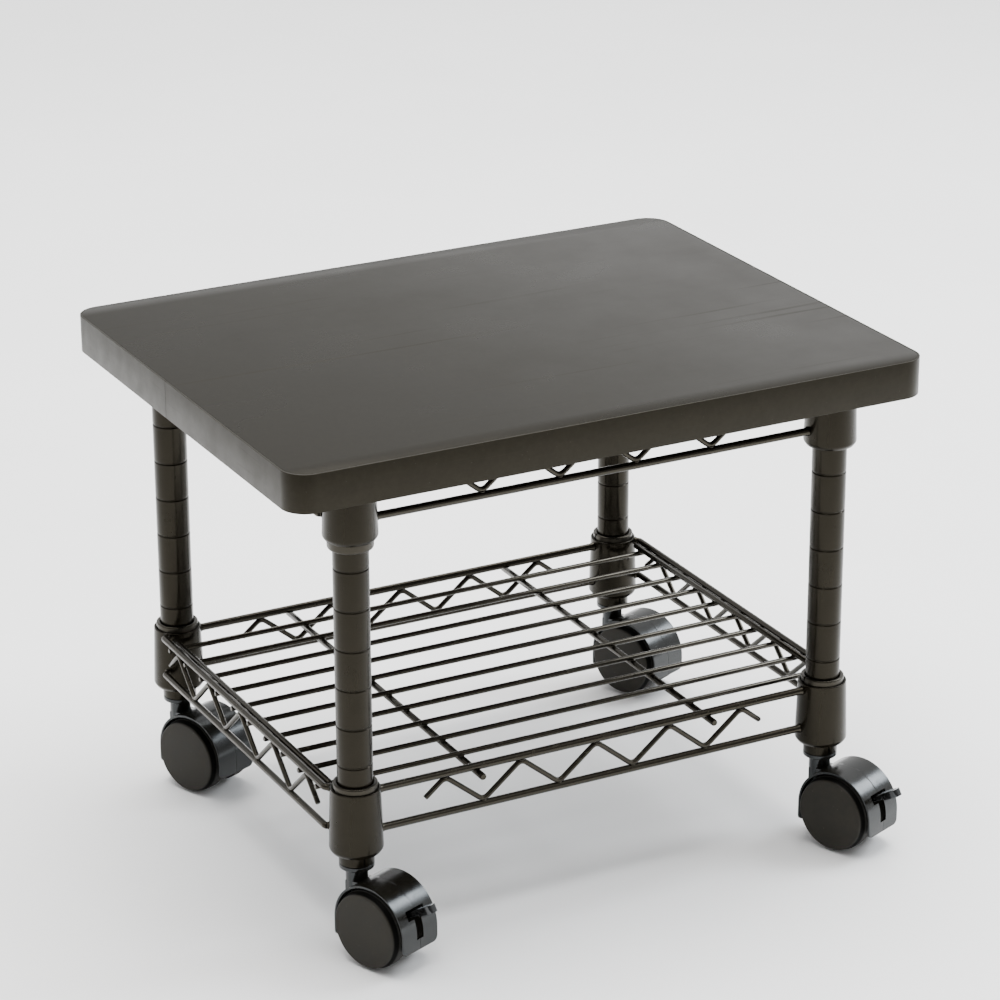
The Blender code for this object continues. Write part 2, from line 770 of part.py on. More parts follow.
def main():
    """Build the whole stand."""
    global PARTS, CUTTERS
    clear_scene()
    PARTS = new_collection("mobile_printer_stand")
    CUTTERS = new_collection("cutters")

    board = material("top_laminate", (0.030, 0.029, 0.026), 0.42)
    band = material("edge_band", (0.034, 0.034, 0.031), 0.40)
    metal = material("black_powder_coat", (0.028, 0.026, 0.022), 0.35)
    wire_coat = material("black_wire_coat", (0.020, 0.019, 0.017), 0.32)
    plastic = material("black_plastic", (0.026, 0.026, 0.024), 0.38)
    sleeve = material("sleeve_plastic", (0.022, 0.022, 0.021), 0.45)
    tyre = material("wheel_plastic", (0.045, 0.043, 0.037), 0.55)
    steel = material("plated_steel", (0.55, 0.55, 0.54), 0.30, 1.0)
    lever = material("lever_plastic", (0.030, 0.030, 0.030), 0.30)

    build_top(board, band)
    build_posts(metal)
    build_collars(metal)
    build_sleeves(sleeve)
    build_trusses(wire_coat)
    build_grille(wire_coat)
    build_inserts(plastic)
    build_stems(steel)
    slots = {"plastic": plastic, "steel": steel, "tyre": tyre, "lever": lever}
    for name, x, y in corners():
        build_caster(name, x, y, name.startswith("front"), slots)


main()
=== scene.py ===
"""Looks for the mobile printer stand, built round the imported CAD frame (metres, +Z up, front towards -Y)."""
import math

import bmesh
import bpy
from mathutils import Matrix, Vector


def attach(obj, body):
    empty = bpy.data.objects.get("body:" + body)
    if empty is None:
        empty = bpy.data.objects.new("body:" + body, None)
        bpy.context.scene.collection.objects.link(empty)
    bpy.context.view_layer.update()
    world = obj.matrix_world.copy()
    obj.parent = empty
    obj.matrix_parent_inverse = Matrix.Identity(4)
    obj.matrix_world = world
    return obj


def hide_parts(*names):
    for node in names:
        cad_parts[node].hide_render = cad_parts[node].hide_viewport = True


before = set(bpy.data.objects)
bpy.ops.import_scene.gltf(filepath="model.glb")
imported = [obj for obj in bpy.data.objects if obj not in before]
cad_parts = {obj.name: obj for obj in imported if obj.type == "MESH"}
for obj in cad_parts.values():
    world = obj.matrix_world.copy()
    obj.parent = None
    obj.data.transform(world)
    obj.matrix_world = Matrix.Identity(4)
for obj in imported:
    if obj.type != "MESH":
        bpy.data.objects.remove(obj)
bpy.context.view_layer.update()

# ---- finishes --------------------------------------------------------------------------------
WARM_SHEEN = (1.0, 0.90, 0.70, 1.0)  # tint of what the coatings reflect
COOL_SHEEN = (0.90, 0.96, 1.0, 1.0)  # and the caster mouldings

# ---- overall sizes -------------------------------------------------------------------------
TOP_WIDTH = 0.4318
TOP_DEPTH = 0.3366
TOP_THICK = 0.024
TOP_CORNER_R = 0.016
STAND_HEIGHT = 0.326
POST_X = 0.1653
POST_Y = 0.1365
GRID_Y = 0.01387  # the posts' centre, behind the origin
GAP = 0.0003

# ---- top board -----------------------------------------------------------------------------
BAND_THICK = 0.0012
BAND_ARRIS = 0.0008
SEAM_Y = 0.0160
SEAM_WIDTH = 0.0003
RECESS_HALF_X = 0.1835
RECESS_HALF_Y = 0.1545
RECESS_DEPTH = 0.0093
CORNER_STEPS = 12

# ---- posts ---------------------------------------------------------------------------------
POST_R = 0.0109
POST_WALL = 0.0012
POST_BOTTOM = 0.0580
GROOVE_PITCH = 0.0254
GROOVE_FIRST = 0.0730
GROOVE_COUNT = 10
GROOVE_DEPTH = 0.0005
GROOVE_HALF = 0.0008
SLIT_WIDTH = 0.0012
SLIT_HEIGHT = 0.0070

# ---- collars and split sleeves ---------------------------------------------------------------
FRAME_STEP = 0.2032
COLLAR_TOP = 0.1077
COLLAR_EDGE = 0.0680
COLLAR_BOTTOM = 0.0656
COLLAR_R_TOP = 0.0154
COLLAR_R_EDGE = 0.0167
COLLAR_R_FOOT = 0.0150
COLLAR_BORE_TOP = 0.0141
COLLAR_BORE_BOTTOM = 0.0144
SLEEVE_BORE = 0.0112
SLEEVE_R_TOP = 0.0137
SLEEVE_R_BOTTOM = 0.0140
SLEEVE_HALF = 0.0130
SLEEVE_SPLIT = 0.0014
LOWER_SLEEVE_Z = 0.0984
UPPER_SLEEVE_Z = 0.2835
LOOSE_SLEEVE_Z = 0.2762
LOOSE_SLEEVE = "front_left"

# ---- wire frames ---------------------------------------------------------------------------
END_RAIL_R = 0.0025
SIDE_RAIL_R = 0.0022
SNAKE_R = 0.0017
END_RAIL_TOP = 0.1025
END_RAIL_BOTTOM = 0.0762
SIDE_RAIL_TOP = 0.1054
SIDE_RAIL_BOTTOM = 0.0795
SIDE_OFFSET = 0.0146
SIDE_STRAIGHT = 0.0125
WELD = 0.0009
END_PITCH = 0.0525
SIDE_PITCH = 0.0495
END_STUB = 0.0137
SIDE_STUB = 0.0155
SNAKE_BEND_R = 0.0045
COLLAR_CLEAR = 0.00045

# ---- shelf grille --------------------------------------------------------------------------
DECK_R = 0.00175
DECK_Z = 0.1010
DECK_HALF = 0.1812
DECK_PITCH = 0.0252
DECK_WIRES = 10
SUPPORT_R = 0.00225
SUPPORT_Z = 0.0973
SUPPORT_X = 0.0819
SUPPORT_HALF = 0.1430
INNER_R = 0.0021
INNER_X = 0.1743
INNER_Z = 0.1046
INNER_HALF = 0.1200
NUGGET_R = 0.0016  # the spot of flash where two wires are welded

# ---- casters -------------------------------------------------------------------------------
CASTER_YAW = math.radians(-68.0)
TRAIL = 0.0230
WHEEL_R = 0.0250
WHEEL_IN = 0.0073
WHEEL_OUT = 0.0204
WHEEL_BORE = 0.0029
FACE_R = 0.0235  # the wheel's flat face, inside its rolled shoulder
AXLE_R = 0.0025
AXLE_HALF = 0.0160
HOOD_R = 0.0279
HOOD_INNER = 0.0265
HOOD_HALF = 0.0155
HOOD_TAIL = 0.0098
HOOD_LEAD = 0.0135
HOOD_STEPS = 48
HOOD_CORNER = 0.0035
PARTING = 0.00012  # half the open parting line over the hood
PARTING_EDGE = 0.0008  # a cut this far from it keeps the rounding's shading at the line
WEB_HALF = 0.0066
NECK_R = 0.00685
NECK_TOP = 0.0535
NECK_BOTTOM = WHEEL_R - 0.0030
STEM_R = 0.0040
STEM_BOTTOM = 0.0300
STEM_TOP = 0.0900
FLANGE_R = 0.0109
FLANGE_BOTTOM = 0.0538
FLANGE_TOP = 0.0577
PLUG_R = 0.0093
PLUG_TOP = 0.0880
PLUG_BORE = 0.0043

# ---- brake lever -----------------------------------------------------------------------------
LEVER_ANGLE = math.radians(29.0)
LEVER_HALF = 0.0025
LEVER_THICK = 0.0034
LEVER_HUB_R = 0.0070
LEVER_REACH = 0.0445
LEVER_TIP_HALF = 0.0033
LEVER_TIP_START = 0.0322
LEVER_TIP_THICK = 0.0048
LEVER_TIP_ROUND = 0.0022
ARM_START = 0.0045  # the lever's flat arm, from inside its hub
ARM_LAP = 0.004  # and on into its tip
ARM_SHY = 0.00005  # kept this much narrower than the hub
LEVER_TRAVEL = math.radians(30.0)
LEVER_SLOT_HALF = 0.0029
LEVER_CLEAR = 0.0004
SWEEP_R = 0.0340
LEVER_CROSS_HALF = 0.0078
LEVER_CROSS_HEIGHT = 0.0064

# ---- view ----------------------------------------------------------------------------------
CAMERA_AZIMUTH = math.radians(-27.605)
CAMERA_ELEVATION = math.radians(21.718)
CAMERA_ROLL = math.radians(-0.2008)
CAMERA_LENS = 130.108  # mm, on a 36 mm sensor
CAMERA_PLACE = (-0.99166, GRID_Y - 1.90558, STAND_HEIGHT + 0.74315)

ROOM_BACK = 1.3  # the white room's brightness behind the object
ROOM_FRONT = 0.20  # and behind the camera

TURN_SEGMENTS = 72


# ---- procedural materials --------------------------------------------------------------------
def new_material(name):
    """An empty node material: its tree, shader and object coordinates."""
    made = bpy.data.materials.new(name)
    made.use_nodes = True
    tree = made.node_tree
    shader = tree.nodes["Principled BSDF"]
    where = tree.nodes.new("ShaderNodeTexCoord").outputs["Object"]
    return made, tree, shader, where


def stretched(tree, where, scale):
    """Coordinates scaled unevenly, for streaks."""
    node = tree.nodes.new("ShaderNodeMapping")
    node.inputs["Scale"].default_value = scale
    tree.links.new(where, node.inputs["Vector"])
    return node.outputs["Vector"]


def noise(tree, where, scale, detail=3.0, roughness=0.55):
    """A noise value of the given scale (features per metre)."""
    node = tree.nodes.new("ShaderNodeTexNoise")
    node.inputs["Scale"].default_value = scale
    node.inputs["Detail"].default_value = detail
    node.inputs["Roughness"].default_value = roughness
    tree.links.new(where, node.inputs["Vector"])
    return node.outputs["Fac"]


def remap(tree, value, low, high, to_low, to_high):
    """A value brought from one range to another, held at its ends."""
    node = tree.nodes.new("ShaderNodeMapRange")
    for socket, number in zip(("From Min", "From Max", "To Min", "To Max"), (low, high, to_low, to_high)):
        node.inputs[socket].default_value = number
    tree.links.new(value, node.inputs["Value"])
    return node.outputs["Result"]


def ramp(tree, value, stops):
    """A colour for a value: stops are (position, (r, g, b))."""
    node = tree.nodes.new("ShaderNodeValToRGB")
    marks = node.color_ramp.elements
    while len(marks) < len(stops):
        marks.new(0.5)
    for mark, (position, colour) in zip(marks, stops):
        mark.position = position
        mark.color = (*colour, 1.0)
    tree.links.new(value, node.inputs["Fac"])
    return node.outputs["Color"]


def blend_colour(tree, share, under, over):
    """The colour under, with over laid on it by share."""
    node = tree.nodes.new("ShaderNodeMix")
    node.data_type = "RGBA"
    tree.links.new(share, node.inputs["Factor"])
    tree.links.new(under, node.inputs["A"])
    node.inputs["B"].default_value = (*over, 1.0)
    return node.outputs["Result"]


def add_values(tree, first, second):
    """Two values added."""
    node = tree.nodes.new("ShaderNodeMath")
    node.operation = "ADD"
    tree.links.new(first, node.inputs[0])
    tree.links.new(second, node.inputs[1])
    return node.outputs["Value"]


def relief(tree, shader, height, strength, depth):
    """Bump the surface by a height value."""
    node = tree.nodes.new("ShaderNodeBump")
    node.inputs["Strength"].default_value = strength
    node.inputs["Distance"].default_value = depth
    tree.links.new(height, node.inputs["Height"])
    tree.links.new(node.outputs["Normal"], shader.inputs["Normal"])


def specks(tree, where, scale, size):
    """Sparse small dots: 1 inside a dot, 0 elsewhere."""
    node = tree.nodes.new("ShaderNodeTexVoronoi")
    node.inputs["Scale"].default_value = scale
    tree.links.new(where, node.inputs["Vector"])
    return remap(tree, node.outputs["Distance"], size * 0.6, size, 1.0, 0.0)


def black_finish(name, tones, mottle, grain, rough, dust, streaks=None, specular=0.2, coat=0.0,
                 sheen=WARM_SHEEN):
    """A black coating or moulding: mottled tone, fine grain, uneven gloss, dust specks and rubbed streaks.

    tones are its darkest and lightest colours, and mottle the patches per metre; grain is (features per
    metre, bump depth, strength); rough is (glossiest, dullest, patches per metre); dust is (dots per
    metre, size, colour); streaks are the rubbed marks per metre along each axis; sheen tints what it
    reflects.
    """
    made, tree, shader, where = new_material(name)
    colour = ramp(tree, noise(tree, where, mottle, 5.0, 0.6), [(0.32, tones[0]), (0.70, tones[1])])
    dots = specks(tree, where, dust[0], dust[1])
    colour = blend_colour(tree, dots, colour, dust[2])
    gloss = remap(tree, noise(tree, where, rough[2], 4.0), 0.3, 0.7, rough[0], rough[1])
    height = noise(tree, where, grain[0], 2.0, 0.5)
    if streaks:
        rubbed = noise(tree, stretched(tree, where, streaks), 1.0, 3.0, 0.6)
        marks = remap(tree, rubbed, 0.62, 0.74, 0.0, 0.10)
        colour = blend_colour(tree, marks, colour, tuple(5.0 * tone for tone in tones[1]))
        gloss = add_values(tree, gloss, marks)
        height = add_values(tree, height, marks)
    tree.links.new(colour, shader.inputs["Base Color"])
    tree.links.new(gloss, shader.inputs["Roughness"])
    shader.inputs["Specular IOR Level"].default_value = specular
    shader.inputs["Specular Tint"].default_value = sheen
    shader.inputs["Coat Weight"].default_value = coat
    shader.inputs["Coat Roughness"].default_value = 0.12
    relief(tree, shader, height, grain[2], grain[1])
    return made


def wheel_finish():
    """Dull moulded wheel: turned scuffs round the disc, dust specks, painted shade on the shoulder and painted
    light on the paler tread.
    """
    made, tree, shader, where = new_material("dull_wheel_plastic")
    split = tree.nodes.new("ShaderNodeSeparateXYZ")
    tree.links.new(where, split.inputs["Vector"])
    flat = tree.nodes.new("ShaderNodeCombineXYZ")
    tree.links.new(split.outputs["X"], flat.inputs["X"])
    tree.links.new(split.outputs["Y"], flat.inputs["Y"])
    length = tree.nodes.new("ShaderNodeVectorMath")
    length.operation = "LENGTH"
    tree.links.new(flat.outputs["Vector"], length.inputs[0])
    radius = length.outputs["Value"]
    mottle = noise(tree, where, 120.0, 5.0, 0.65)
    colour = ramp(tree, mottle, [(0.30, (0.0120, 0.0102, 0.0068)), (0.72, (0.0200, 0.0174, 0.0122))])
    # painted shade: the rolled shoulder is coloured near-black to stand in for the hood's shadow over it
    shoulder = remap(tree, radius, FACE_R - 0.0001, FACE_R + 0.0003, 0.0, 1.0)
    colour = blend_colour(tree, shoulder, colour, (0.0012, 0.0011, 0.0009))
    # painted light: the tread is coloured paler to stand in for it catching the light
    tread = remap(tree, radius, WHEEL_R - 0.0004, WHEEL_R - 0.0001, 0.0, 0.8)
    colour = blend_colour(tree, tread, colour, (0.042, 0.041, 0.038))
    dots = specks(tree, where, 170.0, 0.07)
    colour = blend_colour(tree, dots, colour, (0.050, 0.047, 0.040))
    tree.links.new(colour, shader.inputs["Base Color"])
    # the shoulder's specular is turned down as well, to keep its painted shade dark
    sheen = remap(tree, radius, FACE_R - 0.0001, FACE_R + 0.0003, 0.22, 0.03)
    tree.links.new(sheen, shader.inputs["Specular IOR Level"])
    rings = tree.nodes.new("ShaderNodeCombineXYZ")
    tree.links.new(radius, rings.inputs["X"])
    turned_marks = noise(tree, stretched(tree, rings.outputs["Vector"], (2600.0, 1.0, 1.0)), 1.0, 3.0)
    gloss = remap(tree, add_values(tree, turned_marks, mottle), 0.7, 1.3, 0.48, 0.66)
    tree.links.new(gloss, shader.inputs["Roughness"])
    grain = add_values(tree, noise(tree, where, 1500.0, 2.0), turned_marks)
    relief(tree, shader, grain, 0.25, 0.00005)
    return made


def steel_finish():
    """Zinc-plated steel with drawn lines along it."""
    made, tree, shader, where = new_material("zinc_plated_steel")
    cloud = noise(tree, where, 160.0, 4.0)
    colour = ramp(tree, cloud, [(0.3, (0.42, 0.42, 0.40)), (0.7, (0.62, 0.62, 0.60))])
    lines = noise(tree, stretched(tree, where, (2400.0, 2400.0, 90.0)), 1.0, 3.0)
    tree.links.new(colour, shader.inputs["Base Color"])
    tree.links.new(remap(tree, lines, 0.3, 0.7, 0.24, 0.44), shader.inputs["Roughness"])
    shader.inputs["Metallic"].default_value = 1.0
    relief(tree, shader, lines, 0.2, 0.00004)
    return made


def make_materials():
    """Every finish, by the record's material slot."""
    pale = (0.040, 0.039, 0.035)
    return {
        "top_laminate": black_finish(
            "black_laminate",
            ((0.0034, 0.0028, 0.0013), (0.0052, 0.0044, 0.0024)),
            260.0,
            (1500.0, 0.00005, 0.18),
            (0.26, 0.33, 16.0),
            (190.0, 0.05, pale),
            streaks=(3.0, 90.0, 3.0),
            specular=0.13,
        ),
        "edge_band": black_finish(
            "black_edge_band",
            ((0.0056, 0.0047, 0.0026), (0.0084, 0.0073, 0.0046)),
            300.0,
            (1100.0, 0.00005, 0.20),
            (0.32, 0.42, 60.0),
            (210.0, 0.05, pale),
            streaks=(14.0, 14.0, 900.0),
        ),
        "powder_coat": black_finish(
            "black_powder_coat",
            ((0.0034, 0.0027, 0.0013), (0.0064, 0.0053, 0.0031)),
            90.0,
            (620.0, 0.00006, 0.25),
            (0.18, 0.28, 85.0),
            (260.0, 0.05, pale),
            streaks=(260.0, 260.0, 22.0),
        ),
        "wire_coat": black_finish(
            "black_wire_coat",
            ((0.0030, 0.0025, 0.0016), (0.0058, 0.0050, 0.0034)),
            90.0,
            (700.0, 0.00005, 0.25),
            (0.18, 0.30, 85.0),
            (300.0, 0.06, pale),
            streaks=(60.0, 60.0, 420.0),
            specular=0.4,
        ),
        "sleeve_plastic": black_finish(
            "black_sleeve_plastic",
            ((0.0040, 0.0037, 0.0030), (0.0066, 0.0062, 0.0053)),
            120.0,
            (1300.0, 0.00005, 0.22),
            (0.24, 0.36, 85.0),
            (260.0, 0.06, pale),
            specular=0.4,
        ),
        "caster_plastic": black_finish(
            "black_caster_plastic",
            ((0.0036, 0.0031, 0.0020), (0.0072, 0.0064, 0.0046)),
            110.0,
            (900.0, 0.00004, 0.18),
            (0.15, 0.26, 85.0),
            (240.0, 0.06, pale),
            streaks=(70.0, 70.0, 260.0),
            specular=0.45,
            sheen=COOL_SHEEN,
        ),
        "lever_plastic": black_finish(
            "glossy_lever_plastic",
            ((0.0050, 0.0050, 0.0050), (0.0100, 0.0100, 0.0100)),
            120.0,
            (1100.0, 0.00003, 0.15),
            (0.10, 0.20, 85.0),
            (320.0, 0.06, pale),
            specular=0.5,
            coat=0.3,
            sheen=COOL_SHEEN,
        ),
        "wheel_plastic": wheel_finish(),
        "plated_steel": steel_finish(),
    }


# ---- mesh tools ------------------------------------------------------------------------------
def mesh_object(name, bm, smooth_angle=40.0):
    """A smooth-shaded object from a bmesh, at the world's origin."""
    bmesh.ops.remove_doubles(bm, verts=bm.verts, dist=0.000004)
    bmesh.ops.recalc_face_normals(bm, faces=bm.faces)
    mesh = bpy.data.meshes.new(name)
    bm.to_mesh(mesh)
    bm.free()
    obj = bpy.data.objects.new(name, mesh)
    bpy.context.scene.collection.objects.link(obj)
    shade(obj, smooth_angle)
    return obj


def shade(obj, smooth_angle=40.0):
    """Smooth shading with the sharp edges kept."""
    for face in obj.data.polygons:
        face.use_smooth = True
    obj.data.set_sharp_from_angle(angle=math.radians(smooth_angle))


def settled(obj):
    """Apply an object's modifiers to its mesh."""
    bpy.context.view_layer.update()
    seen = obj.evaluated_get(bpy.context.evaluated_depsgraph_get())
    mesh = bpy.data.meshes.new_from_object(seen)
    obj.modifiers.clear()
    obj.data = mesh
    return obj


def rounded_edges(obj, width, segments=3, angle=40.0):
    """Round an object's sharp edges."""
    bevel = obj.modifiers.new("Round", "BEVEL")
    bevel.width = width
    bevel.segments = segments
    bevel.limit_method = "ANGLE"
    bevel.angle_limit = math.radians(angle)
    bevel.use_clamp_overlap = True
    settled(obj)
    shade(obj)
    return obj


def combined(obj, tool, operation):
    """Apply one exact Boolean and remove its tool."""
    step = obj.modifiers.new(operation, "BOOLEAN")
    step.operation = operation
    step.solver = "EXACT"
    step.object = tool
    settled(obj)
    bpy.data.objects.remove(tool, do_unlink=True)
    shade(obj)
    return obj


def joined(obj, others):
    """Put the other objects' meshes into obj, and remove them."""
    whole = bmesh.new()
    for piece in [obj, *others]:
        whole.from_mesh(piece.data)
    mesh = bpy.data.meshes.new(obj.name)
    whole.to_mesh(mesh)
    whole.free()
    obj.data = mesh
    for piece in others:
        bpy.data.objects.remove(piece, do_unlink=True)
    shade(obj)
    return obj


def arc_corners(points, radius, closed, steps=4):
    """Round the corners of a path; radius is how far each curve reaches from its corner."""
    count = len(points)
    made = [] if closed else [points[0]]
    for i in range(count) if closed else range(1, count - 1):
        before, corner, after = points[i - 1], points[i], points[(i + 1) % count]
        back, ahead = before - corner, after - corner
        if back.length < 1e-7 or ahead.length < 1e-7:
            made.append(corner)
            continue
        reach = min(radius, 0.45 * back.length, 0.45 * ahead.length)
        start = corner + back.normalized() * reach
        end = corner + ahead.normalized() * reach
        for step in range(steps + 1):
            t = step / steps
            made.append(start * (1 - t) ** 2 + corner * 2 * t * (1 - t) + end * t * t)
    if not closed:
        made.append(points[-1])
    return made


def turned(name, profile, closed=True, corner=0.0004, segments=TURN_SEGMENTS):
    """A piece turned about Z from an (r, z) profile with softened corners."""
    outline = arc_corners([Vector((r, 0.0, z)) for r, z in profile], corner, closed)
    bm = bmesh.new()
    rings = []
    for segment in range(segments):
        turn = Matrix.Rotation(2 * math.pi * segment / segments, 3, "Z")
        rings.append([bm.verts.new(turn @ point) for point in outline])
    spans = len(outline) if closed else len(outline) - 1
    for segment in range(segments):
        this, following = rings[segment], rings[(segment + 1) % segments]
        for i in range(spans):
            j = (i + 1) % len(outline)
            bm.faces.new((this[i], following[i], following[j], this[j]))
    bmesh.ops.remove_doubles(bm, verts=bm.verts, dist=0.000004)
    bmesh.ops.dissolve_degenerate(bm, edges=bm.edges, dist=0.000003)
    return mesh_object(name, bm)


def block(name, low, high):
    """A cutting tool with square corners."""
    bm = bmesh.new()
    bmesh.ops.create_cube(bm, size=1.0)
    low, high = Vector(low), Vector(high)
    bmesh.ops.scale(bm, vec=high - low, verts=bm.verts)
    bmesh.ops.translate(bm, vec=(low + high) / 2, verts=bm.verts)
    return mesh_object(name, bm)


def plate(name, outlines, half):
    """A flat plate half thick each way from z = 0. A second outline is a hole."""
    curve = bpy.data.curves.new(name, "CURVE")
    curve.dimensions = "2D"
    curve.fill_mode = "BOTH"
    curve.extrude = half
    for outline in outlines:
        spline = curve.splines.new("POLY")
        spline.points.add(len(outline) - 1)
        for mark, (u, v) in zip(spline.points, outline):
            mark.co = (u, v, 0.0, 1.0)
        spline.use_cyclic_u = True
    return from_curve(name, curve)


def from_curve(name, curve):
    """A curve's surface as a mesh object."""
    holder = bpy.data.objects.new(name + "_curve", curve)
    bpy.context.scene.collection.objects.link(holder)
    bpy.context.view_layer.update()
    mesh = bpy.data.meshes.new_from_object(holder)
    bpy.data.objects.remove(holder, do_unlink=True)
    bm = bmesh.new()
    bm.from_mesh(mesh)
    bpy.data.meshes.remove(mesh)
    return mesh_object(name, bm)


def across(name, outline, half):
    """A plate with an x-z outline, running from -half to +half in y."""
    obj = plate(name, [outline], half)
    obj.data.transform(Matrix.Rotation(math.pi / 2, 4, "X"))
    return obj


def drawn_wire(name, points, radius, bend=0.0, flare=1.0):
    """A drawn wire along a path. Its cut ends are dressed, or flared into a weld where flare is above 1."""
    path = arc_corners([Vector(p) for p in points], bend, False, 8) if bend else [Vector(p) for p in points]
    first = (path[1] - path[0]).normalized()
    last = (path[-2] - path[-1]).normalized()
    near = 0.35 * radius if flare < 1.0 else 0.8 * radius
    marks = [(path[0], flare), (path[0] + first * near, 1.0)]
    marks += [(p, 1.0) for p in path[1:-1]]
    marks += [(path[-1] + last * near, 1.0), (path[-1], flare)]
    curve = bpy.data.curves.new(name, "CURVE")
    curve.dimensions = "3D"
    curve.bevel_depth = radius
    curve.bevel_resolution = 4
    curve.use_fill_caps = True
    spline = curve.splines.new("POLY")
    spline.points.add(len(marks) - 1)
    for mark, (place, share) in zip(spline.points, marks):
        mark.co = (*place, 1.0)
        mark.radius = share
    return from_curve(name, curve)


def nugget(name, place):
    """The small flattened spot of metal squeezed out at a weld."""
    bm = bmesh.new()
    bmesh.ops.create_icosphere(bm, subdivisions=2, radius=NUGGET_R)
    bmesh.ops.scale(bm, vec=(1.25, 1.25, 0.55), verts=bm.verts)
    bmesh.ops.translate(bm, vec=place, verts=bm.verts)
    return mesh_object(name, bm)


def dress(obj, slot, body, nodes, finishes):
    """Give a piece its finish, its CAD node and its body."""
    obj.data.materials.clear()
    obj.data.materials.append(finishes[slot])
    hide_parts(*nodes)
    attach(obj, body)
    return obj


# ---- the stand -------------------------------------------------------------------------------
def corners():
    """The four posts: name, x, y."""
    return (
        ("front_left", -POST_X, GRID_Y - POST_Y),
        ("front_right", POST_X, GRID_Y - POST_Y),
        ("back_left", -POST_X, GRID_Y + POST_Y),
        ("back_right", POST_X, GRID_Y + POST_Y),
    )


def rounded_rectangle(half_x, half_y, radius):
    """Corner points of a rectangle with round corners, anticlockwise."""
    points = []
    for quarter, (sx, sy) in enumerate(((1, 1), (-1, 1), (-1, -1), (1, -1))):
        for step in range(CORNER_STEPS + 1):
            angle = math.radians(90.0 * (quarter + step / CORNER_STEPS))
            x = sx * (half_x - radius) + radius * math.cos(angle)
            y = sy * (half_y - radius) + radius * math.sin(angle)
            points.append((x, y))
    return points


def board_outline(inset):
    """The top's plan outline, brought in all round."""
    return rounded_rectangle(TOP_WIDTH / 2 - inset, TOP_DEPTH / 2 - inset, TOP_CORNER_R - inset)


def build_top(finishes):
    """The laminate board with its recess, and the edge band with its seam."""
    low = STAND_HEIGHT - TOP_THICK
    middle = (low + STAND_HEIGHT) / 2
    board = plate("board", [board_outline(BAND_THICK + 0.0001)], TOP_THICK / 2)
    board.data.transform(Matrix.Translation((0.0, GRID_Y, middle)))
    rounded_edges(board, 0.0003, 2)
    recess = block(
        "recess_tool",
        (-RECESS_HALF_X, GRID_Y - RECESS_HALF_Y, low - 0.01),
        (RECESS_HALF_X, GRID_Y + RECESS_HALF_Y, low + RECESS_DEPTH),
    )
    combined(board, recess, "DIFFERENCE")
    dress(board, "top_laminate", "stand", ["top_board"], finishes)

    band = plate("band", [board_outline(0.0), board_outline(BAND_THICK)], TOP_THICK / 2)
    band.data.transform(Matrix.Translation((0.0, GRID_Y, middle)))
    rounded_edges(band, BAND_ARRIS, 3)
    seam = block(
        "seam_tool",
        (-TOP_WIDTH / 2 - 0.01, GRID_Y + SEAM_Y - SEAM_WIDTH / 2, low - 0.01),
        (-TOP_WIDTH / 2 + 0.01, GRID_Y + SEAM_Y + SEAM_WIDTH / 2, STAND_HEIGHT + 0.01),
    )
    combined(band, seam, "DIFFERENCE")
    dress(band, "edge_band", "stand", ["edge_band"], finishes)


def post_profile():
    """The grooved tube's section."""
    top = COLLAR_TOP + FRAME_STEP
    profile = [(POST_R, top)]
    for step in reversed(range(GROOVE_COUNT)):
        middle = GROOVE_FIRST + step * GROOVE_PITCH
        for lift, depth in ((1.0, 0.0), (0.45, 0.8), (0.0, 1.0), (-0.45, 0.8), (-1.0, 0.0)):
            profile.append((POST_R - depth * GROOVE_DEPTH, middle + lift * GROOVE_HALF))
    profile.append((POST_R, POST_BOTTOM))
    profile.append((POST_R - POST_WALL, POST_BOTTOM))
    profile.append((POST_R - POST_WALL, top))
    return profile


def build_posts(finishes):
    """Grooved tubes with a slit in each foot."""
    for name, x, y in corners():
        post = turned("tube_" + name, post_profile(), corner=0.0002)
        slit = block(
            "slit_tool",
            (-SLIT_WIDTH / 2, -POST_R - 0.004, POST_BOTTOM - 0.004),
            (SLIT_WIDTH / 2, -POST_R / 2, POST_BOTTOM + SLIT_HEIGHT),
        )
        combined(post, slit, "DIFFERENCE")
        post.location = (x, y, 0.0)
        dress(post, "powder_coat", "stand", ["post_" + name], finishes)


def collar_radius(height):
    """Outer radius of the lower collar at a height."""
    share = (COLLAR_TOP - height) / (COLLAR_TOP - COLLAR_EDGE)
    return COLLAR_R_TOP + share * (COLLAR_R_EDGE - COLLAR_R_TOP)


def build_collars(finishes):
    """Tapered collars with rolled rims."""
    profile = [
        (COLLAR_R_TOP, COLLAR_TOP),
        (COLLAR_R_EDGE, COLLAR_EDGE),
        (COLLAR_R_FOOT, COLLAR_BOTTOM),
        (COLLAR_BORE_BOTTOM, COLLAR_BOTTOM),
        (COLLAR_BORE_TOP, COLLAR_TOP),
    ]
    for level, lift in (("lower", 0.0), ("upper", FRAME_STEP)):
        for name, x, y in corners():
            collar = turned(f"{level}_ferrule_{name}", profile, corner=0.0011)
            collar.location = (x, y, lift)
            dress(collar, "powder_coat", "stand", [f"{level}_collar_{name}"], finishes)


def sleeve_height(level, name):
    """Height of a sleeve's middle."""
    if level == "lower":
        return LOWER_SLEEVE_Z
    return LOOSE_SLEEVE_Z if name == LOOSE_SLEEVE else UPPER_SLEEVE_Z


